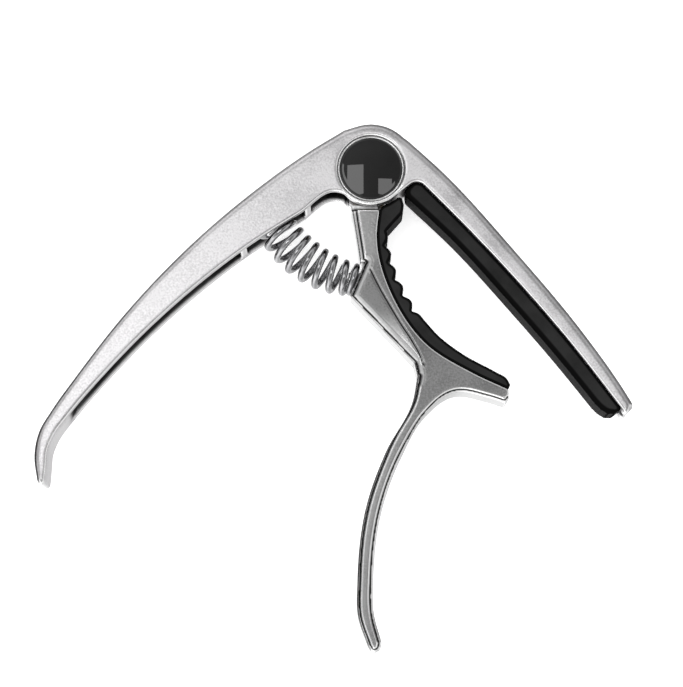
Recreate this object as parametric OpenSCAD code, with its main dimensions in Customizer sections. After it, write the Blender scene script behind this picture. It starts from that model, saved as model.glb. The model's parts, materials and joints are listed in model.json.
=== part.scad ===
// Trigger capo for a steel-string guitar, lying on its side.
// A cast frame (long handle, hub and string arm) and a cast lever turn on a
// two-piece pivot pin, and a bowed compression spring closes them on the neck.
// Outlines are drawn around the pivot, then moved so that the part stands on
// z = 0 with the middle of its footprint at the origin. Millimetres.

/* [Frame casting] */
// Depth of the frame along the pivot axis
frame_depth = 12; // [11.8:0.1:12.4]
// Outer radius of the hub
hub_r = 8.9; // [8.7:0.1:9.2]
// Radius of the two ears under the hub
ear_r = 7.2; // [7:0.1:7.3]
// Thickness of each ear
ear_t = 2.4; // [2.2:0.1:2.5]
// Thickness of the spine over the handle's channel
web_t = 2; // [1.8:0.1:2.4]
// Thickness of the handle's two side walls
wall_t = 1.5; // [1.3:0.1:1.6]

/* [Lever casting] */
// Depth of the lever along the pivot axis
lever_depth = 10.2; // [9.8:0.1:10.6]
// Radius of the lever's hub between the ears
lever_hub_r = 5.6; // [5.3:0.1:5.7]

/* [Pivot] */
// Radius of the pivot barrel
barrel_r = 2; // [1.8:0.1:2.2]
// Radius of the heads of the barrel and the screw
head_r = 3.1; // [2.8:0.1:3.3]
// Thickness of those heads
head_t = 0.6; // [0.4:0.1:0.7]
// Radius of the screw's shank
screw_r = 1.2; // [1:0.1:1.3]
// Thickness of each thrust washer
washer_t = 0.3; // [0.2:0.05:0.4]

/* [Badges] */
// Radius of the round recess for each badge
recess_r = 6.5; // [6.3:0.1:6.6]
// Depth of that recess
recess_depth = 0.9; // [0.8:0.05:1]
// Thickness of the metal badge disc
badge_t = 0.3; // [0.2:0.05:0.35]

/* [Spring] */
// Radius of the arc that the spring's centre line follows around the pivot
spring_arc_r = 21.3; // [21.1:0.1:21.5]
// Wire diameter
wire_d = 1.3; // [1.1:0.1:1.3]
// Number of turns
turns = 8; // [7.5:0.25:8]

/* [Rubber pads] */
// Depth of both pads along the pivot axis
pad_depth = 10; // [9.4:0.2:10.4]
// Height of the grip teeth
tooth_h = 1; // [0.6:0.1:1.2]

/* [Hidden] */
$fn = 64;

// Offset that puts the footprint's middle at the origin
pivot_x = 7.15;
pivot_y = 42.25;

mid_z = frame_depth / 2;
play = 0.05;            // running clearance on each side of a moving face
fit = 0.02;             // clearance of a pressed or seated part
over = 1;               // how far a cut runs past the face that it opens

hub_tab_t = frame_depth - 2 * (ear_t + washer_t + play);
cavity_r = lever_hub_r + 0.9;
seat_depth = 3.9;       // how far inside the handle's rim the spring sits
key_w = 5;              // key of the string pad, and its slot in the arm
key_h = 1.5;
tongue_w = 4;           // tongue of the neck pad, and its groove in the jaw
tongue_h = 0.8;

// Spring: angles around the pivot of its two seats
lever_seat_a = -95.5;
frame_seat_a = -154.2;
frame_post_r = 2.3;
lever_post_r = 1.5;
post_l = 2.4;

// ---- curves ------------------------------------------------------------

function arc(r, a0, a1, n, c = [0, 0]) =
    [for (k = [0 : n]) let (a = a0 + (a1 - a0) * k / n) c + r * [cos(a), sin(a)]];

function unit(v) = v / norm(v);
function slope(p, i) =
    i == 0 ? unit(p[1] - p[0])
    : i == len(p) - 1 ? unit(p[i] - p[i - 1])
    : let (a = p[i] - p[i - 1], b = p[i + 1] - p[i])
      unit(a * norm(b) / norm(a) + b * norm(a) / norm(b));
function between(p, i, t) =
    let (h = norm(p[i + 1] - p[i]), a = slope(p, i) * h, b = slope(p, i + 1) * h)
    (2 * pow(t, 3) - 3 * t * t + 1) * p[i] + (pow(t, 3) - 2 * t * t + t) * a
    + (3 * t * t - 2 * pow(t, 3)) * p[i + 1] + (pow(t, 3) - t * t) * b;

// Smooth curve through the points p, with n steps between neighbours
function curve(p, n = 4) =
    [for (i = [0 : len(p) - 2]) for (k = [0 : n - 1]) between(p, i, k / n), p[len(p) - 1]];

// The same path moved sideways by d, to the left of its direction
function shifted(p, d) =
    [for (i = [0 : len(p) - 1]) let (s = slope(p, i)) p[i] + d * [-s[1], s[0]]];
function reversed(p) = [for (i = [len(p) - 1 : -1 : 0]) p[i]];
function part_of(p, i0, i1) = [for (i = [i0 : i1]) p[i]];

// ---- frame outlines ------------------------------------------------------

// Outside of the handle, from the hook's tip to the hub
handle_back = curve([
    [-64, -60.6], [-64.6, -55.9], [-63.8, -51.4], [-61.3, -47], [-57.1, -41], [-46.9, -27.7],
    [-31.9, -12.1], [-22.7, -4.3], [-12, 3.5], [-5.2, 7.7]
]);
// Outside of the arm, from the hub to the arm's tip
arm_back = curve([
    [7.5, 5.4], [13.8, -0.4], [27.8, -16], [40.5, -31.5], [48.6, -43.1], [50.3, -45.9]
]);
// String side of the arm, from the notch beside the hub to the arm's tip
arm_rim = curve([[10.4, -3.4], [18.9, -12.1], [29.6, -23.8], [39.4, -35.5], [48, -46.8]]);
// Grip side of the handle, from the hub to the hook's tip
handle_rim = curve([
    [-5.7, -4.8], [-6.6, -4.6], [-13.8, -8.9], [-23.3, -15], [-36.9, -25.8],
    [-51.4, -40.3], [-58, -48.1], [-60.8, -52], [-61.9, -54.7], [-62.2, -58]
]);

frame_outline = concat(
    handle_back,
    arc(hub_r, 104, 46, 12),
    arm_back,
    [[50.2, -46.7], [49.1, -47.9], [48.5, -47.7]],
    reversed(arm_rim),
    arc(2, 50, 135, 5, [8.9, -4.7]),
    arc(ear_r, -54, -136, 14),
    handle_rim,
    [[-62.4, -60.9], [-62.8, -61.5], [-63.5, -61.5]]
);

// The channel under the handle's spine, ending short of the hook's bend
channel_top = shifted(part_of(handle_back, 14, 32), -web_t);
channel = concat(
    [[-59.5, -52]], channel_top,
    [[-4.6, 4.6], [-4.6, -8], [-20, -18], [-40, -34]]
);

// A rib across the channel, through point c and along direction a
module rib(c, a, t, l) {
    translate(c) rotate(a) translate([0, -t / 2]) square([l, t]);
}

function on_spring(a) = spring_arc_r * [cos(a), sin(a)];

// Solid bridge behind the frame's spring seat
module seat_bridge() {
    translate(on_spring(frame_seat_a)) rotate(frame_seat_a) translate([-6, -12]) square([14, 12]);
}

module frame_channel() {
    translate([0, 0, wall_t]) linear_extrude(frame_depth - 2 * wall_t) difference() {
        polygon(channel);
        rib([-24.6, -15.6], 124, 1.5, 12);
        rib([-12.1, -7.5], 121, 1.5, 12);
        seat_bridge();
    }
}

// Room for the lever's hub, with a wall on the arm side that stops the lever
module hub_cavity() {
    translate([0, 0, ear_t]) linear_extrude(frame_depth - 2 * ear_t) {
        circle(cavity_r);
        polygon([[2.4, 0], [2.4, -9], [-8, -9], [-12.2, -8.6], [-6, 2]]);
    }
}

module arm_slot() {
    translate([0, 0, mid_z - key_w / 2]) linear_extrude(key_w)
        polygon(concat(
            shifted(part_of(arm_rim, 1, 16), key_h),
            [[49.2, -50]],
            reversed(shifted(part_of(arm_rim, 1, 16), -over))
        ));
}

module badge_seat() {
    translate([0, 0, -over]) cylinder(r = recess_r, h = recess_depth + over);
    translate([0, 0, -over]) cylinder(r = head_r + 0.1, h = recess_depth + head_t + over);
}

module frame_post() {
    translate(concat(on_spring(frame_seat_a), mid_z)) rotate([0, 0, frame_seat_a])
        rotate([-90, 0, 0]) translate([0, 0, -1]) cylinder(r = frame_post_r, h = post_l + 1);
}

module frame() {
    color("gainsboro") place() {
        difference() {
            linear_extrude(frame_depth) polygon(frame_outline);
            frame_channel();
            hub_cavity();
            arm_slot();
            badge_seat();
            translate([0, 0, frame_depth]) mirror([0, 0, 1]) badge_seat();
            translate([0, 0, -over]) cylinder(r = barrel_r + fit, h = frame_depth + 2 * over);
        }
        frame_post();
    }
}

// ---- lever -----------------------------------------------------------------

// Jaw side of the lever, from the shoulder under the ears to the jaw's tip
jaw_edge = curve([
    [1.7, -8], [1.2, -13], [4.4, -25.2], [10.6, -34.1], [19.4, -39.7], [26.4, -43]
]);
// Underside of the jaw and outside of the tail
tail_front = curve([
    [25.9, -45.7], [22.4, -44.6], [16, -43.7], [10.6, -47.6], [6.1, -55.2],
    [2.2, -65.6], [0.4, -79], [0.5, -86], [2, -91.6]
]);
// Grip side of the tail, up to the spring block
tail_back = curve([
    [-0.7, -92.2], [-2.6, -86.4], [-2.7, -79.8], [-1, -65.5], [2.8, -55], [8, -45.2], [8.9, -40.4]
]);
spine_back = [[-2.1, -18.2], [-2.9, -13], [-3.7, -8]];

lever_outline = concat(
    jaw_edge, [[26.5, -44.9]], tail_front,
    [[1.7, -92.8], [0.7, -93.4], [-0.1, -93.2]], tail_back,
    [[8.3, -37.9], [-4.1, -24.8], [-3.6, -23.9], [-1.2, -18.2]], spine_back
);

module lever_hub() {
    linear_extrude(hub_tab_t) difference() {
        union() {
            circle(lever_hub_r);
            polygon([[1.5, 0], [1.5, -9.4], [-3.4, -9.4], [-4.6, -3]]);
        }
        circle(barrel_r + play);
    }
}

module lever_post() {
    translate(concat(on_spring(lever_seat_a), mid_z)) rotate([0, 0, lever_seat_a])
        rotate([90, 0, 0]) translate([0, 0, -1]) cylinder(r = lever_post_r, h = post_l + 1);
}

// Strip along the jaw edge, h deep into the lever
module jaw_groove(h) {
    linear_extrude(tongue_w)
        polygon(concat(part_of(jaw_edge, 3, 17), reversed(shifted(part_of(jaw_edge, 3, 17), -h))));
}

module lever() {
    color("silver") place() {
        difference() {
            translate([0, 0, mid_z - lever_depth / 2]) linear_extrude(lever_depth)
                polygon(lever_outline);
            translate([0, 0, mid_z - tongue_w / 2]) jaw_groove(tongue_h);
        }
        translate([0, 0, mid_z - hub_tab_t / 2]) lever_hub();
        lever_post();
    }
}

// ---- pads ------------------------------------------------------------------

// Face of the string pad, bowed like a fretboard's strings
string_face = curve([[6.8, -5.3], [16.3, -14.4], [26.8, -26.1], [36.9, -38], [43.1, -45.8]]);

string_pad_outline = concat(
    [[44.2, -46.9], [45.5, -47.7], [46.8, -47.7], [47.6, -47.1]],
    reversed(arm_rim),
    arc(2, 50, 135, 5, [8.9, -4.7]),
    [[6.6, -4.1]],
    string_face
);

module string_pad() {
    color("dimgray") place() {
        translate([0, 0, mid_z - pad_depth / 2]) linear_extrude(pad_depth)
            polygon(string_pad_outline);
        translate([0, 0, mid_z - key_w / 2]) linear_extrude(key_w)
            polygon(concat(
                reversed(shifted(part_of(arm_rim, 1, 16), key_h)), part_of(arm_rim, 1, 16)
            ));
    }
}

// Crests of the grip teeth, and the row of rounded teeth with sharp roots between
tooth_crests = [[3.3, -13.2], [3.9, -16.5], [4.8, -19.7], [6.1, -22.8], [7.8, -25.9], [9.6, -28.7]];
tooth_steps = 10;
tooth_row = curve(tooth_crests, tooth_steps);
toothed = [
    for (i = [0 : len(tooth_row) - 1])
        let (s = slope(tooth_row, i), root = 1 - abs(cos(180 * i / tooth_steps)))
        tooth_row[i] - tooth_h * root * [-s[1], s[0]]
];

neck_pad_outline = concat(
    reversed(jaw_edge),
    arc(ear_r + 0.4, -72, -46, 5),
    [[6, -5.6], [6.4, -7], [6.2, -8.6], [3, -12.2]],
    toothed,
    curve([[10.3, -29.6], [13, -32.6], [17.7, -36.2], [24.1, -39.7], [26.1, -40.9], [26.8, -42.2]])
);

module neck_pad() {
    color("dimgray") place() {
        translate([0, 0, mid_z - pad_depth / 2]) linear_extrude(pad_depth)
            polygon(neck_pad_outline);
        translate([0, 0, mid_z - tongue_w / 2]) jaw_groove(tongue_h);
    }
}

// ---- spring ------------------------------------------------------------------

ring_steps = 24;        // rings in each turn
wire_sides = 8;
ring_count = floor(turns * ring_steps);
frame_gap = 2.2;        // angle from each seat to the wire's centre
lever_gap = 3.4;
lean = 2;               // angle by which the last turn leans onto the lever's slanted seat
closed_pitch = 4.1;     // angle for each turn where the coil is close wound
first_turn_a = -140;    // where around the coil the wire starts
open_pitch = closed_pitch
    + (lever_seat_a - lever_gap - frame_seat_a - frame_gap - closed_pitch * turns) / (turns - 1);

// Barrel shape: n is the number of turns from the frame's seat
function coil_r(n) =
    let (t = n / turns) 3.3 + (2.55 - 3.3) * t + 0.7 * sin(180 * t);
// Close wound at both ends and open between
function spring_a(n) =
    let (
        opened = n < 1 ? n * n / 2 : n - 0.5,
        closed = n > turns - 1 ? pow(n - turns + 1, 2) / 2 : 0,
        leaning = pow(max(0, n - turns + 2) / 2, 2) * lean * cos(360 * n + first_turn_a)
    )
    frame_seat_a + frame_gap + closed_pitch * n
    + (open_pitch - closed_pitch) * (opened - closed) - leaning;
function wire_at(n) =
    let (a = spring_a(n), turn = 360 * n + first_turn_a, r = spring_arc_r + coil_r(n) * cos(turn))
    [r * cos(a), r * sin(a), mid_z - coil_r(n) * sin(turn)];
function wire_ring(i) =
    let (
        n = i / ring_steps,
        d = unit(wire_at(n + 0.01) - wire_at(n - 0.01)),
        a = spring_a(n),
        turn = 360 * n + first_turn_a,
        out = [cos(turn) * cos(a), cos(turn) * sin(a), -sin(turn)],
        side = unit(cross(d, out))
    )
    [for (k = [0 : wire_sides - 1])
        let (w = 360 * k / wire_sides)
        wire_at(n) + wire_d / 2 * (cos(w) * cross(side, d) + sin(w) * side)];

module spring() {
    color("slategray") place() polyhedron(
        points = [for (i = [0 : ring_count]) each wire_ring(i)],
        faces = concat(
            [[for (k = [wire_sides - 1 : -1 : 0]) k]],
            [for (i = [0 : ring_count - 1]) for (k = [0 : wire_sides - 1])
                let (n = (k + 1) % wire_sides, b = i * wire_sides)
                [b + k, b + n, b + wire_sides + n, b + wire_sides + k]],
            [[for (k = [0 : wire_sides - 1]) ring_count * wire_sides + k]]
        )
    );
}

// ---- pivot -------------------------------------------------------------------

shaft_end = recess_depth + head_t;

module pivot_barrel() {
    color("silver") place() difference() {
        union() {
            translate([0, 0, recess_depth]) cylinder(r = head_r, h = head_t);
            translate([0, 0, shaft_end]) cylinder(r = barrel_r, h = frame_depth - 2 * shaft_end);
        }
        translate([0, 0, mid_z - 1]) cylinder(r = screw_r + fit, h = frame_depth);
    }
}

module pivot_screw() {
    color("darkgray") place() difference() {
        union() {
            translate([0, 0, frame_depth - shaft_end]) cylinder(r = head_r, h = head_t);
            translate([0, 0, mid_z]) cylinder(r = screw_r, h = mid_z - shaft_end);
        }
        translate([0, 0, frame_depth - recess_depth - 1.2]) cylinder(d = 1.6, h = 2, $fn = 6);
    }
}

module washer() {
    difference() {
        cylinder(r = lever_hub_r - 0.4, h = washer_t);
        translate([0, 0, -over]) cylinder(r = barrel_r + 0.1, h = washer_t + 2 * over);
    }
}

module washer_front() {
    color("wheat") place() translate([0, 0, frame_depth - ear_t - washer_t]) washer();
}

module washer_rear() {
    color("wheat") place() translate([0, 0, ear_t]) washer();
}

// ---- badges --------------------------------------------------------------------

dome_r = recess_r - 0.45;
dome_h = recess_depth - badge_t - play;
ball_r = (dome_r * dome_r + dome_h * dome_h) / (2 * dome_h);

module badge_plate() {
    cylinder(r = recess_r - 0.1, h = badge_t);
}

// Cap of a ball, standing on the badge disc
module badge_dome() {
    half_a = asin(dome_r / ball_r);
    rotate_extrude() polygon(concat([[0, 0]], arc(ball_r, 90 - half_a, 90, 12, [0, dome_h - ball_r])));
}

module badge_plate_front() {
    color("silver") place() translate([0, 0, frame_depth - recess_depth]) badge_plate();
}

module badge_dome_front() {
    color("#151515") place() translate([0, 0, frame_depth - recess_depth + badge_t]) badge_dome();
}

module badge_plate_rear() {
    color("silver") place() translate([0, 0, recess_depth - badge_t]) badge_plate();
}

module badge_dome_rear() {
    color("#151515") place() translate([0, 0, recess_depth - badge_t])
        mirror([0, 0, 1]) badge_dome();
}

module place() {
    translate([pivot_x, pivot_y, 0]) children();
}

frame();
lever();
string_pad();
neck_pad();
spring();
pivot_barrel();
pivot_screw();
washer_front();
washer_rear();
badge_plate_front();
badge_dome_front();
badge_plate_rear();
badge_dome_rear();
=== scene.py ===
"""Looks of a trigger capo: castings, pads, spring and badges built around the CAD frame.

Shapes are drawn in millimetres around the lever's pivot, with z measured from the middle
of the casting's depth, and moved into the frame's metres when each mesh is made.
"""
import json
import math

import bpy
import numpy as np
import openvdb
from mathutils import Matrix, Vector


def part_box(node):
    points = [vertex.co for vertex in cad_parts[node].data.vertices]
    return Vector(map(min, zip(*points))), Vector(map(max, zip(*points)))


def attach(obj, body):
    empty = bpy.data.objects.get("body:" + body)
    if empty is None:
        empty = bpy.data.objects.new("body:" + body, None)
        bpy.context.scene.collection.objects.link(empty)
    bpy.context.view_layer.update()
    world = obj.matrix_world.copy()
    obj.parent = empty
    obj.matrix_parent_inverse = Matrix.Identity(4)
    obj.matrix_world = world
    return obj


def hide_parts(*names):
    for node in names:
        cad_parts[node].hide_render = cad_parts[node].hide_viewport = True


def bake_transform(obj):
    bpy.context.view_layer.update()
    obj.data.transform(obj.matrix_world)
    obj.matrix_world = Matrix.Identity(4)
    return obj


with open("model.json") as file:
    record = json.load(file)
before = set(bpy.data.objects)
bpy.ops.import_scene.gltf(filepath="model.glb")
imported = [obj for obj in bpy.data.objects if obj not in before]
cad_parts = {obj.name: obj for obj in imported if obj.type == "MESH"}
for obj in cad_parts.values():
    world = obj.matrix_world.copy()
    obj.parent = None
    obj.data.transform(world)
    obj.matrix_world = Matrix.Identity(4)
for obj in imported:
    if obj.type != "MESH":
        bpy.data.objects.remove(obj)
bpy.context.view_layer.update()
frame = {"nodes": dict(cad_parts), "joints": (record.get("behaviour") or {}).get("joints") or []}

MM = 0.001
pivot = Vector(frame["joints"][0]["pos_m"])


def size_z(node):
    """Depth of a CAD node along the pivot axis, in millimetres."""
    low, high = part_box(node)
    return (high.z - low.z) / MM


FRAME_DEPTH = size_z("frame")
LEVER_DEPTH = size_z("lever")
PAD_DEPTH = size_z("string_pad")


# ---- plane curves ---------------------------------------------------------------


def curve(points, steps=10):
    """Smooth curve through the points, with that many steps between neighbours."""
    p = np.array(points, float)
    step = np.diff(p, axis=0)
    length = np.linalg.norm(step, axis=1)
    inner = step[:-1] * (length[1:] / length[:-1])[:, None]
    inner += step[1:] * (length[:-1] / length[1:])[:, None]
    slope = np.vstack([step[0], inner, step[-1]])
    slope /= np.linalg.norm(slope, axis=1)[:, None]
    t = np.linspace(0, 1, steps, endpoint=False)[:, None]
    parts = []
    for i, chord in enumerate(length):
        a, b = slope[i] * chord, slope[i + 1] * chord
        parts.append(
            (2 * t**3 - 3 * t**2 + 1) * p[i]
            + (t**3 - 2 * t**2 + t) * a
            + (3 * t**2 - 2 * t**3) * p[i + 1]
            + (t**3 - t**2) * b
        )
    return np.vstack(parts + [p[-1:]])


def arc(radius, start, end, steps=24, centre=(0, 0)):
    a = np.radians(np.linspace(start, end, steps + 1))
    return np.column_stack([centre[0] + radius * np.cos(a), centre[1] + radius * np.sin(a)])


def shifted(path, d):
    """The same path moved sideways by d, to the left of its direction."""
    slope = np.gradient(path, axis=0)
    slope /= np.linalg.norm(slope, axis=1)[:, None]
    return path + d * np.column_stack([-slope[:, 1], slope[:, 0]])


def joined(*parts):
    return np.vstack([np.atleast_2d(np.array(p, float)) for p in parts])


# ---- solids as distance fields -----------------------------------------------------


class Field:
    """A grid of millimetre positions, and the distance fields drawn on it."""

    def __init__(self, outline, half_depth, cell):
        pad = 4 * cell
        low, high = outline.min(axis=0) - pad, outline.max(axis=0) + pad
        self.cell = cell
        self.low = np.array([low[0], low[1], -half_depth - pad])
        nx, ny = (int(math.ceil(v / cell)) + 1 for v in high - low)
        nz = int(math.ceil(2 * (half_depth + pad) / cell)) + 1
        self.x = (low[0] + cell * np.arange(nx, dtype=np.float32))[:, None, None]
        self.y = (low[1] + cell * np.arange(ny, dtype=np.float32))[None, :, None]
        self.z = (self.low[2] + cell * np.arange(nz, dtype=np.float32))[None, None, :]

    def to_path(self, path):
        """Distance to an open path, in the plane."""
        x, y = self.x[:, :, 0], self.y[:, :, 0]
        best = np.full((x.shape[0], y.shape[1]), 1e9, np.float32)
        for (ax, ay), (bx, by) in zip(path[:-1], path[1:]):
            dx, dy = bx - ax, by - ay
            t = np.clip(((x - ax) * dx + (y - ay) * dy) / (dx * dx + dy * dy), 0, 1)
            np.minimum(best, (x - ax - t * dx) ** 2 + (y - ay - t * dy) ** 2, out=best)
        return np.sqrt(best)[:, :, None]

    def to_shape(self, outline):
        """Distance to a closed outline in the plane, negative inside it."""
        ring = np.vstack([outline, outline[:1]])
        ring = ring[np.append(True, np.linalg.norm(np.diff(ring, axis=0), axis=1) > 1e-6)]
        x, y = self.x[:, :, 0], self.y[:, :, 0]
        inside = np.zeros((x.shape[0], y.shape[1]), bool)
        for (ax, ay), (bx, by) in zip(ring[:-1], ring[1:]):
            if ay != by:
                inside ^= ((ay > y) != (by > y)) & (x < (bx - ax) * (y - ay) / (by - ay) + ax)
        distance = self.to_path(ring)
        return np.where(inside[:, :, None], -distance, distance)

    def from_centre(self):
        return np.hypot(self.x, self.y)


def slab(plane, z, half, r):
    """A plane shape drawn out to half each way along z, with its long edges rounded by r."""
    out = plane + r
    up = np.abs(z) - half + r
    return (
        np.minimum(np.maximum(out, up), 0)
        + np.hypot(np.maximum(out, 0), np.maximum(up, 0))
        - r
    )


def cut(solid, tool, r):
    """solid without tool, with the edge between them rounded by about r."""
    return np.maximum(solid, -tool) + np.maximum(2 * r - np.abs(solid + tool), 0) ** 2 / (8 * r)


def join(a, b, r):
    """Both solids, with a fillet of about r between them."""
    return np.minimum(a, b) - np.maximum(2 * r - np.abs(a - b), 0) ** 2 / (8 * r)


def smooth(t):
    t = np.clip(t, 0, 1)
    return t * t * (3 - 2 * t)


def sampled(grid, places):
    """Values of a grid between its points, where places are in cells."""
    base = np.clip(np.floor(places).astype(int), 0, np.array(grid.shape) - 2)
    f = places - base
    total = 0
    for corner in np.ndindex(2, 2, 2):
        i = base + corner
        weight = np.prod(np.where(corner, f, 1 - f), axis=1)
        total = total + weight * grid[i[:, 0], i[:, 1], i[:, 2]]
    return total


def mesh_object(name, points, faces, normals=None):
    """A smooth mesh from millimetre points around the pivot."""
    mesh = bpy.data.meshes.new(name)
    mesh.from_pydata((points * MM + np.array(pivot)).tolist(), [], faces)
    mesh.polygons.foreach_set("use_smooth", [True] * len(mesh.polygons))
    if normals is not None:
        mesh.normals_split_custom_set_from_vertices(normals.tolist())
    obj = bpy.data.objects.new(name, mesh)
    bpy.context.scene.collection.objects.link(obj)
    return obj


# Bending given to painted shade lines, deep enough for the metal's painted crease shade
LINE_BEND = -4


def field_object(name, field, distance, patch=None, lines=None):
    """Meshes where the distance is zero. Normals come from the field's own slope.

    The attribute "bend" holds the surface's bending, in 1/mm: above zero on outer edges,
    below zero in inner corners and inside the lines, where the metal gets painted shade.
    The patch attribute is 1 where the surface is in the patch.
    """
    band = 3 * field.cell
    grid = openvdb.FloatGrid(band)
    grid.copyFromArray(np.clip(distance, -band, band).astype(np.float32))
    points, triangles, quads = grid.convertToPolygons(isovalue=0.0, adaptivity=0.0)
    slope = np.gradient(distance.astype(np.float32), field.cell)
    length = np.sqrt(slope[0] ** 2 + slope[1] ** 2 + slope[2] ** 2) + 1e-6
    slope = [g / length for g in slope]
    bend = sum(np.gradient(g, field.cell, axis=i) for i, g in enumerate(slope))
    if lines is not None:
        bend = np.where(lines < 0, LINE_BEND, bend)
    normals = np.stack([sampled(g, points) for g in slope], axis=1)
    normals /= np.linalg.norm(normals, axis=1)[:, None]
    faces = quads.tolist() + triangles.tolist()
    obj = mesh_object(name, points * field.cell + field.low, faces, normals)
    layer = obj.data.attributes.new("bend", "FLOAT", "POINT")
    layer.data.foreach_set("value", np.clip(sampled(bend, points), -9, 9).astype(np.float32))
    # The patch attribute: a blasted finish on the lever's face, painted shade inside the frame's
    # channel
    if patch is not None:
        blast_and_shade = np.clip(1.2 - sampled(patch, points) / 0.25, 0, 1)
        layer = obj.data.attributes.new("blast_and_shade", "FLOAT", "POINT")
        layer.data.foreach_set("value", blast_and_shade.astype(np.float32))
    return obj


# ---- frame outlines ------------------------------------------------------------------

# Radii, thicknesses and depths in millimetres; angles in degrees around the pivot
HUB_R = 8.9
EAR_R = 7.2
EAR_T = 2.4
CAVITY_R = 6.5
RECESS_R = 6.5
RECESS_DEPTH = 0.9
WALL_T = 1.5
WEB_T = 2.0
SPRING_ARC_R = 21.3
FRAME_SEAT_A = -154.2
LEVER_SEAT_A = -95.5

handle_back = curve([
    (-64, -60.6), (-64.6, -55.9), (-63.8, -51.4), (-61.3, -47), (-57.1, -41), (-46.9, -27.7),
    (-31.9, -12.1), (-22.7, -4.3), (-12, 3.5), (-5.2, 7.7),
])
arm_back = curve([
    (7.5, 5.4), (13.8, -0.4), (27.8, -16), (40.5, -31.5), (48.6, -43.1), (50.3, -45.9),
])
arm_rim = curve([(10.4, -3.4), (18.9, -12.1), (29.6, -23.8), (39.4, -35.5), (48, -46.8)])
handle_rim = curve([
    (-5.7, -4.8), (-6.6, -4.6), (-13.8, -8.9), (-23.3, -15), (-36.9, -25.8),
    (-51.4, -40.3), (-58, -48.1), (-60.8, -52), (-61.9, -54.7), (-62.2, -58),
])
notch = arc(2, 50, 135, 12, (8.9, -4.7))
frame_spine = joined(handle_back, arc(HUB_R, 104, 46, 24), arm_back)
frame_outline = joined(
    frame_spine, (50.2, -46.7), (49.1, -47.9), (48.5, -47.7), arm_rim[::-1],
    notch, arc(EAR_R, -54, -136, 32), handle_rim, (-62.4, -60.9), (-62.8, -61.5), (-63.5, -61.5),
)


def on_spring(angle, radius=SPRING_ARC_R):
    a = math.radians(angle)
    return np.array([radius * math.cos(a), radius * math.sin(a)])


def turned_box(field, centre, angle, x0, x1, y0, y1):
    """Distance to a rectangle in the plane, set at a point and turned."""
    a = math.radians(angle)
    u = (field.x - centre[0]) * math.cos(a) + (field.y - centre[1]) * math.sin(a)
    v = (field.y - centre[1]) * math.cos(a) - (field.x - centre[0]) * math.sin(a)
    du = np.abs(u - (x0 + x1) / 2) - (x1 - x0) / 2
    dv = np.abs(v - (y0 + y1) / 2) - (y1 - y0) / 2
    return np.minimum(np.maximum(du, dv), 0) + np.hypot(np.maximum(du, 0), np.maximum(dv, 0))


def post(field, angle, side, radius, length):
    """A round spring post standing on a seat, along the spring's arc."""
    a = math.radians(angle)
    across = (field.x * math.cos(a) + field.y * math.sin(a)) - SPRING_ARC_R
    along = side * (field.y * math.cos(a) - field.x * math.sin(a))
    reach = np.abs(along - (length - 1) / 2) - (length + 1) / 2
    return np.maximum(np.hypot(across, field.z) - radius, reach)


def badge_seats(field, solid):
    """The round recess for a badge on each side, the pin heads' counterbores and the bore."""
    rho = field.from_centre()
    out = np.abs(field.z)
    half = FRAME_DEPTH / 2
    solid = cut(solid, np.maximum(rho - RECESS_R, half - RECESS_DEPTH - out), 0.13)
    solid = np.maximum(solid, -np.maximum(rho - 3.2, half - RECESS_DEPTH - 0.65 - out))
    return np.maximum(solid, 2.02 - rho)


def build_frame():
    field = Field(frame_outline, FRAME_DEPTH / 2, 0.31)
    plane = field.to_shape(frame_outline)
    from_spine = field.to_path(frame_spine)
    from_rim = field.to_path(joined(arm_rim[::-1], notch, arc(EAR_R, -54, -136), handle_rim))
    spine_r = 0.95 + 0.45 * smooth((field.x + 60) / 45)
    edge_r = 0.6 + (spine_r - 0.6) * smooth((from_rim - from_spine) / 2 + 0.5)
    solid = slab(plane, field.z, FRAME_DEPTH / 2, edge_r)

    # The handle's channel, with two ribs and the spring's seat left standing in it
    channel_top = shifted(handle_back[35:81], -WEB_T)
    channel = field.to_shape(joined(
        (-59.5, -52), channel_top, (-4.6, 4.6), (-4.6, -8), (-20, -18), (-40, -34)))
    for centre, angle in (((-24.6, -15.6), 124), ((-12.1, -7.5), 121)):
        channel = cut(channel, turned_box(field, centre, angle, 0, 12, -0.75, 0.75), 0.3)
    channel = cut(channel, turned_box(field, on_spring(FRAME_SEAT_A), FRAME_SEAT_A, -6, 8, -12, 0), 0.3)
    hollow = slab(channel, field.z, FRAME_DEPTH / 2 - WALL_T, 0.5)
    solid = cut(solid, hollow, 0.2)

    # The gap between the hub's ears, for the lever's tab
    cavity = join(field.from_centre() - CAVITY_R, field.to_shape(
        np.array([(2.4, 0), (2.4, -9), (-8, -9), (-12.2, -8.6), (-6, 2)], float)), 0.3)
    solid = cut(solid, slab(cavity, field.z, FRAME_DEPTH / 2 - EAR_T, 0.3), 0.2)

    # The slot for the string pad's key, the badges' recesses and the spring's post
    key = joined(shifted(arm_rim[3:], 1.5), (49.2, -50), shifted(arm_rim[3:], -1)[::-1])
    solid = np.maximum(solid, -slab(field.to_shape(key), field.z, 2.5, 0.1))
    solid = badge_seats(field, solid)
    solid = join(solid, post(field, FRAME_SEAT_A, 1, 2.3, 2.4), 0.3)
    # The patch is the inside of the channel, which the frame's metal paints dark as shade
    return field_object("frame_casting", field, solid, np.maximum(hollow, plane + 0.7))


# ---- lever ------------------------------------------------------------------------------

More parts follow.
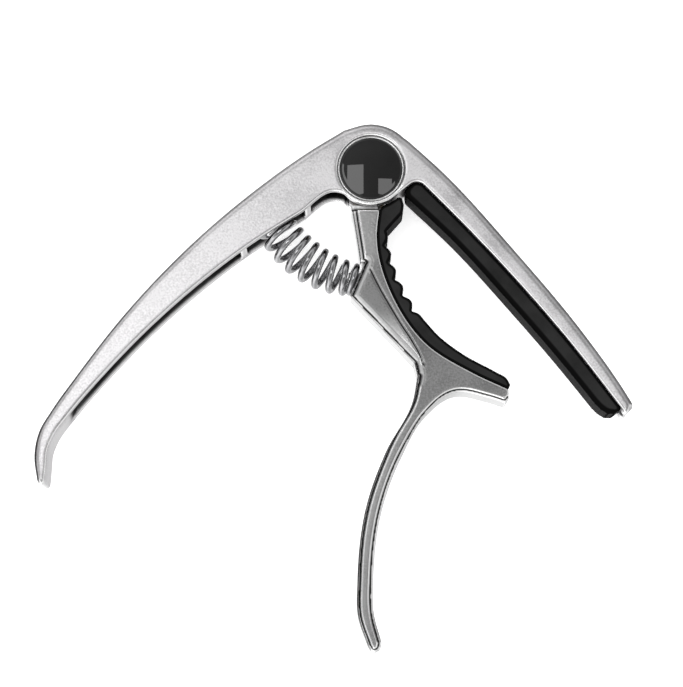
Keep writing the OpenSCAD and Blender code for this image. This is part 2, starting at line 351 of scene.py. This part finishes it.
jaw_edge = curve([(1.7, -8), (1.2, -13), (4.4, -25.2), (10.6, -34.1), (19.4, -39.7), (26.4, -43)])
tail_front = curve([
    (25.9, -45.7), (22.4, -44.6), (16, -43.7), (10.6, -47.6), (6.1, -55.2),
    (2.2, -65.6), (0.4, -79), (0.5, -86), (2, -91.6),
])
tail_back = curve([
    (-0.7, -92.2), (-2.6, -86.4), (-2.7, -79.8), (-1, -65.5), (2.8, -55), (8, -45.2), (8.9, -40.4),
])
block_edge = joined((8.3, -37.9), (-4.1, -24.8), (-3.6, -23.9), (-1.2, -18.2))
spine_back = joined((-2.1, -18.2), (-2.9, -13), (-3.7, -8))
tail_tip = [(1.7, -92.8), (0.7, -93.4), (-0.1, -93.2)]
lever_outline = joined(
    jaw_edge, (26.5, -44.9), tail_front, tail_tip, tail_back, block_edge, spine_back,
)
seam = curve([
    (-0.2, -19.6), (1.8, -23.6), (3.8, -27.1), (5.7, -30.3), (7.9, -33.7), (9.4, -36.5), (10.1, -38.4),
])

# The raised face stands a step above a band along the rim, whose width varies
STEP = 0.6
BAND = 0.65
WAIST_BAND = 0.4
BLOCK_BAND = 0.5
SPINE_BAND = 0.9


def build_lever():
    field = Field(lever_outline, LEVER_DEPTH / 2, 0.22)
    plane = field.to_shape(lever_outline)
    half = LEVER_DEPTH / 2
    band_r = 0.25 + 0.4 * smooth(field.to_path(jaw_edge) / 2.4)
    solid = slab(plane, field.z, half - STEP, band_r)

    # The raised face slopes down to the block's edge, and is rounder on the tail's front
    from_band = field.to_path(joined((26.5, -44.9), tail_front, tail_tip, tail_back))
    from_block = field.to_path(joined(tail_back[-3:], block_edge))
    from_spine = field.to_path(spine_back)
    waist = np.exp(-((field.y + 50) / 4) ** 2)
    land = np.maximum(plane, BAND - (BAND - WAIST_BAND) * waist - from_band)
    land = np.maximum(land, BLOCK_BAND - from_block)
    land = np.maximum(land, SPINE_BAND - from_spine)
    top = half - 0.4 * np.clip(1 - (from_block - BAND) / 0.9, 0, 1)
    tail_front_r = smooth((-44 - field.y) / 8) * smooth(1.6 - field.to_path(tail_front))
    raised = slab(land, field.z, top, 0.35 + 0.4 * tail_front_r)
    groove = field.to_path(seam) - (np.abs(field.z) - (half - 0.45)) * 0.4
    raised = cut(raised, groove, 0.1)
    solid = np.minimum(solid, raised)

    # The hub's tab and bore, the slot for the neck pad's key and the spring's post
    tab = np.minimum(field.from_centre() - 5.6, field.to_shape(
        np.array([(1.5, 0), (1.5, -9.4), (-3.4, -9.4), (-4.6, -3)], float)))
    solid = join(solid, slab(tab, field.z, FRAME_DEPTH / 2 - EAR_T - 0.35, 0.2), 0.25)
    solid = np.maximum(solid, 2.05 - field.from_centre())
    groove = field.to_shape(joined(jaw_edge[8:43], shifted(jaw_edge[8:43], -0.8)[::-1]))
    solid = np.maximum(solid, -slab(groove, field.z, 2, 0.1))
    solid = join(solid, post(field, LEVER_SEAT_A, -1, 1.5, 2.4), 0.3)

    # Blasted on the raised face only, less so on the tail and the spine; the block's lower end is left
    # paler as painted light, standing in for the light on its curved face. A painted shade line runs at
    # the face's foot.
    paler_and_lit = 0.05 + 0.05 * smooth((-36 - field.y) / 25) + 0.1 * smooth((field.y + 22) / 10)
    block = field.to_shape(joined(seam, block_edge))
    # Painted light: the block's lower end is made paler, for the light falling on its curved face
    paler_and_lit = paler_and_lit + 0.3 * smooth((-27 - field.y) / 9) * (block < 0)
    blast_and_painted_light = np.maximum(np.maximum(land + 0.3, paler_and_lit), BAND + 0.9 - from_block)
    blast_and_painted_light = np.maximum(blast_and_painted_light, half - 0.15 - np.abs(field.z))
    # Painted shade: a near-black line along the foot of the raised face
    foot_shade = np.maximum(np.abs(land - 0.09) - 0.13, np.abs(field.z) - (half - 0.3))
    foot_shade = np.maximum(foot_shade, np.minimum(from_band, from_block) - 1.2)
    return field_object("lever_casting", field, solid, blast_and_painted_light, foot_shade)


# ---- pads -----------------------------------------------------------------------------

string_face = curve([(6.8, -5.3), (16.3, -14.4), (26.8, -26.1), (36.9, -38), (43.1, -45.8)])
string_pad_outline = joined(
    (44.2, -46.9), (45.5, -47.7), (46.8, -47.7), (47.6, -47.1), arm_rim[::-1], notch,
    (6.6, -4.1), string_face,
)


def build_string_pad():
    field = Field(string_pad_outline, PAD_DEPTH / 2, 0.24)
    plane = field.to_shape(string_pad_outline)
    from_face = field.to_path(joined(string_face, (44.2, -46.9), (45.5, -47.7)))
    from_arm = field.to_path(arm_rim)
    edge_r = 0.2 + 0.75 * smooth((from_arm - from_face) / 2 + 0.5)
    solid = slab(plane, field.z, PAD_DEPTH / 2, edge_r)
    return field_object("string_pad_rubber", field, solid)


TOOTH_STEPS = 16
TOOTH_H = 1.0
tooth_crests = curve(
    [(3.3, -13.2), (3.9, -16.5), (4.8, -19.7), (6.1, -22.8), (7.8, -25.9), (9.6, -28.7)], TOOTH_STEPS)


def toothed(crests, steps, height):
    """Scallops of that height between crests that lie that many steps apart."""
    i = np.arange(len(crests))
    root = 1 - np.abs(np.cos(np.pi * i / steps))
    slope = np.gradient(crests, axis=0)
    slope /= np.linalg.norm(slope, axis=1)[:, None]
    return crests - (height * root)[:, None] * np.column_stack([-slope[:, 1], slope[:, 0]])


neck_pad_outline = joined(
    jaw_edge[::-1], arc(EAR_R + 0.4, -72, -46, 10), (6, -5.6), (6.4, -7), (6.2, -8.6), (3, -12.2),
    toothed(tooth_crests, TOOTH_STEPS, TOOTH_H),
    curve([(10.3, -29.6), (13, -32.6), (17.7, -36.2), (24.1, -39.7), (26.1, -40.9), (26.8, -42.2)]),
)


def build_neck_pad():
    field = Field(neck_pad_outline, PAD_DEPTH / 2, 0.22)
    plane = field.to_shape(neck_pad_outline)
    from_jaw = field.to_path(jaw_edge)
    edge_r = 0.12 + 0.25 * smooth(from_jaw / 1.2)
    solid = slab(plane, field.z, PAD_DEPTH / 2, edge_r)
    return field_object("neck_pad_rubber", field, solid)


# ---- spring ------------------------------------------------------------------------------

# The spring's ends and pitch, as angles around the pivot, and its wire's radius
TURNS = 8.4
FRAME_GAP = 2
LEVER_GAP = 2.6
LEAN = 2.2
CLOSED_PITCH = 3.8
CLOSED_TURNS = 1.4
FIRST_TURN_A = -140
WIRE_R = 0.65


def build_spring():
    """A wire swept round a barrel-shaped helix whose axis is an arc around the pivot.

    Its first half turn and its last turns are closed, and the last ones lean along the block.
    """
    n = np.linspace(0, TURNS, int(TURNS * 40) + 1)
    span = LEVER_SEAT_A - LEVER_GAP - FRAME_SEAT_A - FRAME_GAP
    opened = np.where(n < 1, n * n / 2, n - 0.5)
    late = np.maximum(0, n - TURNS + CLOSED_TURNS)
    closed = np.where(late < 1, late * late / 2, late - 0.5)
    spread = (span - CLOSED_PITCH * TURNS) / (opened[-1] - closed[-1])
    turn = np.radians(360 * n + FIRST_TURN_A)
    leaning = (np.maximum(0, n - TURNS + 3) / 3) ** 2 * LEAN * np.cos(turn)
    a = np.radians(
        FRAME_SEAT_A + FRAME_GAP + CLOSED_PITCH * n + spread * (opened - closed) - leaning)
    t = n / TURNS
    coil_r = 3.3 - 0.75 * t + 0.7 * np.sin(np.pi * t)
    reach = SPRING_ARC_R + coil_r * np.cos(turn)
    line = np.column_stack([reach * np.cos(a), reach * np.sin(a), -coil_r * np.sin(turn)])
    out = np.column_stack([np.cos(turn) * np.cos(a), np.cos(turn) * np.sin(a), -np.sin(turn)])
    along = np.gradient(line, axis=0)
    along /= np.linalg.norm(along, axis=1)[:, None]
    side = np.cross(along, out)
    side /= np.linalg.norm(side, axis=1)[:, None]
    up = np.cross(side, along)
    sides = 20
    w = np.linspace(0, 2 * np.pi, sides, endpoint=False)
    ring = np.cos(w)[:, None, None] * up + np.sin(w)[:, None, None] * side
    # Rounded ends: three more rings at each end, each smaller than the one before
    rings = [line + WIRE_R * r for r in ring]
    points = np.stack(rings, axis=1)
    caps = []
    for end, sign in ((0, -1), (-1, 1)):
        for back, share in ((0.12, 0.97), (0.35, 0.8), (0.5, 0.5)):
            centre = line[end] + sign * along[end] * back * WIRE_R
            caps.append((end, centre + share * WIRE_R * ring[:, end]))
    first = [c for e, c in caps if e == 0][::-1]
    last = [c for e, c in caps if e == -1]
    points = np.concatenate([np.array(first), points, np.array(last)])
    count = len(points)
    faces = []
    for i in range(count - 1):
        for k in range(sides):
            m = (k + 1) % sides
            faces.append((i * sides + k, i * sides + m, (i + 1) * sides + m, (i + 1) * sides + k))
    faces.append(tuple(range(sides))[::-1])
    faces.append(tuple((count - 1) * sides + k for k in range(sides)))
    return mesh_object("spring_coil", points.reshape(-1, 3), faces)


# ---- badges ------------------------------------------------------------------------------


def lathe(name, profile, side, steps=96):
    """Turns a (radius, height) profile round the pivot. side is 1 in front and -1 behind."""
    profile = np.array(profile, float)
    a = np.linspace(0, 2 * np.pi, steps, endpoint=False)
    points = [(0, 0, side * profile[0][1])]
    for r, h in profile[1:-1]:
        points += [(r * math.cos(v), r * math.sin(v), side * h) for v in a]
    points.append((0, 0, side * profile[-1][1]))
    rows = len(profile) - 2
    faces = []
    for k in range(steps):
        m = (k + 1) % steps
        faces.append((0, 1 + m, 1 + k))
        for i in range(rows - 1):
            b, c = 1 + i * steps, 1 + (i + 1) * steps
            faces.append((b + k, b + m, c + m, c + k))
        faces.append((1 + (rows - 1) * steps + k, 1 + (rows - 1) * steps + m, 1 + rows * steps))
    if side < 0:
        faces = [f[::-1] for f in faces]
    return mesh_object(name, np.array(points), faces)


def build_badge(side, suffix):
    floor_z = FRAME_DEPTH / 2 - RECESS_DEPTH
    plate = lathe("badge_disc_" + suffix, [
        (0, floor_z), (6.3, floor_z), (6.4, floor_z + 0.08), (6.4, floor_z + 0.38),
        (6.34, floor_z + 0.45), (6.2, floor_z + 0.48), (6.08, floor_z + 0.4),
        (6.05, floor_z + 0.3), (0, floor_z + 0.3),
    ], side)
    dome_r, dome_h = RECESS_R - 0.47, RECESS_DEPTH - 0.35
    ball = (dome_r**2 + dome_h**2) / (2 * dome_h)
    profile = [(0, floor_z + 0.3), (dome_r, floor_z + 0.3)]
    for r in np.linspace(dome_r, 0, 14)[:-1]:
        profile.append((r, floor_z + 0.3 + dome_h - ball + math.sqrt(ball**2 - r * r)))
    profile[2] = (dome_r, floor_z + 0.36)
    profile.append((0, floor_z + 0.3 + dome_h))
    dome = lathe("badge_lens_" + suffix, profile, side)
    return plate, dome


# ---- materials ---------------------------------------------------------------------------


class Shader:
    """A small helper that adds nodes to one material."""

    def __init__(self, name, **values):
        self.material = bpy.data.materials.new(name)
        self.material.use_nodes = True
        self.tree = self.material.node_tree
        self.surface = self.tree.nodes["Principled BSDF"]
        for key, value in values.items():
            self.surface.inputs[key.replace("_", " ")].default_value = value

    def node(self, kind, inputs=(), **settings):
        made = self.tree.nodes.new(kind)
        for key, value in settings.items():
            setattr(made, key, value)
        for key, value in dict(inputs).items():
            if isinstance(value, bpy.types.NodeSocket):
                self.tree.links.new(value, made.inputs[key])
            else:
                made.inputs[key].default_value = value
        return made

    def link(self, output, key):
        self.tree.links.new(output, self.surface.inputs[key])


def noise(shader, scale, detail=4.0, roughness=0.6):
    where = shader.node("ShaderNodeTexCoord").outputs["Object"]
    return shader.node("ShaderNodeTexNoise", {
        "Vector": where, "Scale": scale, "Detail": detail, "Roughness": roughness}).outputs["Fac"]


def ramp(shader, value, low, high, in_low=0.3, in_high=0.7):
    """Maps a value from one range to another."""
    return shader.node("ShaderNodeMapRange", {
        "Value": value, "From Min": in_low, "From Max": in_high,
        "To Min": low, "To Max": high}).outputs["Result"]


def tint(shader, factor, dark, light):
    """Mixes two colours, each a plain colour or a node's output."""
    mix = shader.node("ShaderNodeMix", data_type="RGBA")
    shader.tree.links.new(factor, mix.inputs[0])
    for place, colour in ((6, dark), (7, light)):
        if isinstance(colour, tuple):
            mix.inputs[place].default_value = (*colour, 1)
        else:
            shader.tree.links.new(colour, mix.inputs[place])
    return mix.outputs[2]


def attribute(shader, name):
    return shader.node("ShaderNodeAttribute", attribute_name=name).outputs["Fac"]


def grey(level):
    return (level, level, level)


def bump(shader, height, distance, strength, normal=None):
    inputs = {"Height": height, "Distance": distance, "Strength": strength}
    if normal is not None:
        inputs["Normal"] = normal
    return shader.node("ShaderNodeBump", inputs).outputs["Normal"]


def satin_metal(name, dark, light, patch, rough):
    """Cast alloy under satin nickel: a fine sandblasted grain, bright worn edges that are partly a
    painted highlight, painted shade in the creases.

    patch is the pair of colours where the patch attribute is 1: a blasted finish on the lever, painted
    shade inside the frame's channel.
    """
    shader = Shader(name, Metallic=1.0)
    grain = noise(shader, 2600, 3)
    cloud = noise(shader, 90, 2)
    both = shader.node("ShaderNodeMath", {0: cloud, 1: grain}, operation="ADD").outputs[0]
    bend = attribute(shader, "bend")
    wear_highlight = ramp(shader, bend, 0, 1, 0.9, 1.9)
    crease_shade = ramp(shader, bend, 1, 0, -1.8, -0.4)
    blast_and_shade = attribute(shader, "blast_and_shade")
    fleck = ramp(shader, both, 0, 1, 0.84, 1.16)
    cast = tint(shader, fleck, dark, light)
    # The patch colours: a blasted finish on the lever, painted shade in the frame's channel
    blast_and_painted_light = tint(shader, fleck, *patch)
    cast = tint(shader, blast_and_shade, cast, blast_and_painted_light)
    # Outer edges brightened and glossier: edge wear and, partly, a painted highlight
    cast = tint(shader, wear_highlight, cast, grey(0.95))
    # Painted shade: inner corners and the painted lines go nearly black
    shader.link(tint(shader, crease_shade, cast, grey(0.03)), "Base Color")
    matte = ramp(shader, cloud, rough - 0.04, rough + 0.05)
    gloss = shader.node("ShaderNodeMath", {0: wear_highlight, 1: -0.1, 2: matte}, operation="MULTIPLY_ADD")
    shader.link(gloss.outputs[0], "Roughness")
    fine = bump(shader, grain, 0.00004, 0.7)
    shader.link(bump(shader, noise(shader, 900, 2), 0.00004, 0.15, fine), "Normal")
    return shader.material


def rubber(name):
    """Matte black moulded rubber with a fine grain, its outer edges darkened as painted shade."""
    shader = Shader(name)
    grain = noise(shader, 3200, 4)
    cloud = noise(shader, 160, 3)
    bend = attribute(shader, "bend")
    edge_shade = ramp(shader, bend, 0, 1, 0.3, 0.9)
    face = tint(shader, ramp(shader, cloud, 0, 1), grey(0.01), grey(0.018))
    # Painted shade: outer edges darker and with less sheen
    shader.link(tint(shader, edge_shade, face, grey(0.003)), "Base Color")
    shader.link(ramp(shader, edge_shade, 0.03, 0.0, 0, 1), "Specular IOR Level")
    shader.link(ramp(shader, grain, 0.6, 0.78), "Roughness")
    shader.link(bump(shader, grain, 0.00005, 0.5), "Normal")
    return shader.material


def polished_wire(name):
    """Bright nickel wire with the faint drawing lines of its making."""
    shader = Shader(name, Metallic=1.0)
    streak = noise(shader, 900, 3)
    metal = tint(shader, ramp(shader, streak, 0, 1), (0.33, 0.33, 0.34), (0.5, 0.5, 0.51))
    shader.link(metal, "Base Color")
    shader.link(ramp(shader, streak, 0.05, 0.11), "Roughness")
    return shader.material


def plain_metal(name, dark, light, rough):
    """Machined metal with light handling marks."""
    shader = Shader(name, Metallic=1.0)
    marks = noise(shader, 1200, 4)
    shader.link(tint(shader, ramp(shader, marks, 0, 1), dark, light), "Base Color")
    shader.link(ramp(shader, marks, rough - 0.04, rough + 0.08), "Roughness")
    return shader.material


def gloss_black(name):
    """Clear domed resin over black."""
    shader = Shader(
        name, Specular_IOR_Level=0.0, Coat_Weight=1.0, Coat_Roughness=0.02, Coat_IOR=1.5)
    cloud = noise(shader, 300, 2)
    shader.link(tint(shader, cloud, grey(0.004), grey(0.008)), "Base Color")
    shader.link(ramp(shader, cloud, 0.08, 0.14), "Roughness")
    return shader.material


def dress(obj, material):
    obj.data.materials.clear()
    obj.data.materials.append(material)
    return obj


def dress_node(name, material):
    """Gives a CAD node that stays visible a better material."""
    obj = frame["nodes"][name]
    for slot in obj.material_slots:
        slot.link = "OBJECT"
        slot.material = material
    if not obj.material_slots:
        obj.data.materials.append(material)


# ---- the pieces -----------------------------------------------------------------------------

# The frame's patch colours are painted shade, darkening the inside of the handle's channel
frame_metal = satin_metal(
    "frame_satin_nickel", (0.56, 0.552, 0.56), (0.78, 0.77, 0.78),
    (grey(0.05), grey(0.1)), 0.32)
lever_metal = satin_metal(
    "lever_satin_nickel", grey(0.58), grey(0.7),
    (grey(0.16), grey(0.25)), 0.3)
pad_rubber = rubber("pad_rubber")
spring_steel = polished_wire("spring_nickel")
pin_steel = plain_metal("pin_steel", (0.42, 0.42, 0.43), (0.55, 0.55, 0.56), 0.25)
washer_brass = plain_metal("washer_brass", (0.62, 0.46, 0.2), (0.78, 0.6, 0.3), 0.3)
disc_metal = plain_metal("disc_chrome", grey(0.78), grey(0.9), 0.14)
lens_black = gloss_black("lens_black")

for build, material, node, body, slot in (
    (build_frame, frame_metal, "frame", "frame", "frame_metal"),
    (build_lever, lever_metal, "lever", "lever", "lever_metal"),
    (build_string_pad, pad_rubber, "string_pad", "frame", "pad_rubber"),
    (build_neck_pad, pad_rubber, "neck_pad", "lever", "pad_rubber"),
):
    piece = dress(build(), material)
    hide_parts(node)
    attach(piece, body)

coil = dress(build_spring(), spring_steel)
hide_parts("spring")


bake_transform(coil)

for side, suffix in ((1, "front"), (-1, "rear")):
    disc, lens = build_badge(side, suffix)
    for piece, material, node, slot in (
        (disc, disc_metal, "badge_plate_", "badge_metal"),
        (lens, lens_black, "badge_dome_", "badge_black"),
    ):
        dress(piece, material)
        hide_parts(node + suffix)
        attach(piece, "frame")

for node in ("pivot_barrel", "pivot_screw"):
    dress_node(node, pin_steel)
for node in ("washer_front", "washer_rear"):
    dress_node(node, washer_brass)

# ---- studio -----------------------------------------------------------------------------------


def add_floor():
    reach = 3.0
    mesh = bpy.data.meshes.new("floor")
    corners = [(-reach, -reach, 0), (reach, -reach, 0), (reach, reach, 0), (-reach, reach, 0)]
    mesh.from_pydata(corners, [], [(0, 1, 2, 3)])
    floor = bpy.data.objects.new("floor", mesh)
    bpy.context.scene.collection.objects.link(floor)
    floor.visible_glossy = False
    paper = Shader("floor_paper", Roughness=0.9, Specular_IOR_Level=0.1, Emission_Strength=0.5)
    paper.surface.inputs["Base Color"].default_value = (0.9, 0.9, 0.9, 1)
    paper.surface.inputs["Emission Color"].default_value = (1, 1, 1, 1)
    dress(floor, paper.material)


def add_softbox(name, place, width, depth, glow):
    """A rectangular light that points straight down, whose face has the given radiance."""
    light = bpy.data.lights.new(name, "AREA")
    light.shape = "RECTANGLE"
    light.size, light.size_y = width, depth
    light.energy = glow * math.pi * width * depth
    lamp = bpy.data.objects.new(name, light)
    bpy.context.scene.collection.objects.link(lamp)
    lamp.location = place


# (place, brightness) that reflections see on the near and the far side, where place is 0
# straight down, 0.5 at the horizon and 1 straight up
NEAR = ((0.0, 1.1), (0.3, 1.0), (0.5, 1.3), (0.75, 1.3), (0.89, 0.45), (1.0, 0.3))
FAR = (
    (0.0, 1.1), (0.06, 0.9), (0.14, 0.3), (0.3, 0.25), (0.6, 0.3), (0.72, 1.1), (0.89, 0.5), (1.0, 0.3),
)
FILL = 1.7


def add_world():
    """An even pale room. Reflections see a light tent instead, darker on its far and left sides."""
    world = bpy.data.worlds.new("studio")
    bpy.context.scene.world = world
    world.use_nodes = True
    # Glossy and other rays see different rooms, which only works without light sampling
    world.cycles.sampling_method = "NONE"
    tree = world.node_tree
    back = tree.nodes["Background"]
    back.inputs["Color"].default_value = (1, 1, 1, 1)
    way = tree.nodes.new("ShaderNodeTexCoord").outputs["Generated"]
    split = tree.nodes.new("ShaderNodeSeparateXYZ")
    tree.links.new(way, split.inputs[0])

    def mapped(value, low, high, to_low, to_high):
        made = tree.nodes.new("ShaderNodeMapRange")
        made.interpolation_type = "SMOOTHSTEP"
        tree.links.new(value, made.inputs["Value"])
        made.inputs["From Min"].default_value = low
        made.inputs["From Max"].default_value = high
        made.inputs["To Min"].default_value = to_low
        made.inputs["To Max"].default_value = to_high
        return made.outputs[0]

    def by_height(stops):
        """Brightness by the height of the direction, from (place, brightness) pairs."""
        made = tree.nodes.new("ShaderNodeValToRGB")
        height = tree.nodes.new("ShaderNodeMapRange")
        height.inputs["From Min"].default_value = -1
        tree.links.new(split.outputs["Z"], height.inputs["Value"])
        tree.links.new(height.outputs[0], made.inputs[0])
        marks = made.color_ramp.elements
        for place, glow in stops:
            mark = marks[0] if place == 0 else marks[-1] if place == 1 else marks.new(place)
            mark.color = (glow, glow, glow, 1)
        return made.outputs[0]

    def mixed(factor, a, b):
        made = tree.nodes.new("ShaderNodeMix")
        tree.links.new(factor, made.inputs[0])
        for key, value in ((2, a), (3, b)):
            if isinstance(value, float):
                made.inputs[key].default_value = value
            else:
                tree.links.new(value, made.inputs[key])
        return made.outputs[0]

    def towards(x, y):
        """How far a level direction points along (x, y)."""
        made = tree.nodes.new("ShaderNodeVectorMath")
        made.operation = "DOT_PRODUCT"
        tree.links.new(way, made.inputs[0])
        made.inputs[1].default_value = (x, y, 0)
        return made.outputs["Value"]

    def times(a, b):
        made = tree.nodes.new("ShaderNodeMath")
        made.operation = "MULTIPLY"
        tree.links.new(a, made.inputs[0])
        tree.links.new(b, made.inputs[1])
        return made.outputs[0]

    tent = mixed(mapped(towards(-0.5, 1), -0.4, -0.1, 0, 1), by_height(NEAR), by_height(FAR))
    tent = times(tent, mapped(split.outputs["X"], -0.35, 0.35, 1.35, 0.7))
    seen = times(tent, mapped(towards(-0.97, 0.25), 0.72, 0.9, 1, 0.03))
    path = tree.nodes.new("ShaderNodeLightPath")
    tree.links.new(mixed(path.outputs["Is Glossy Ray"], FILL, seen), back.inputs["Strength"])


def add_camera():
    """Almost straight down on the capo, from 0.555 m, with 132.1 mm of it across the view."""
    elevation = math.radians(82.6)
    distance = 0.555
    across = 0.1321
    aim = Vector((0.00145, 0.00795, FRAME_DEPTH * MM))
    data = bpy.data.cameras.new("camera")
    data.sensor_width = 36
    data.lens = data.sensor_width * distance / across
    camera = bpy.data.objects.new("camera", data)
    bpy.context.scene.collection.objects.link(camera)
    camera.location = aim + distance * Vector((0, -math.cos(elevation), math.sin(elevation)))
    camera.rotation_euler = (math.pi / 2 - elevation, 0, 0)
    bpy.context.scene.camera = camera


add_floor()
add_world()
add_softbox("softbox_left", (-0.105, 0.079, 0.62), 0.125, 0.22, 3.2)
add_softbox("softbox_right", (0.121, 0.015, 0.62), 0.105, 0.13, 3.0)
add_camera()
bpy.context.scene.view_settings.view_transform = "Standard"
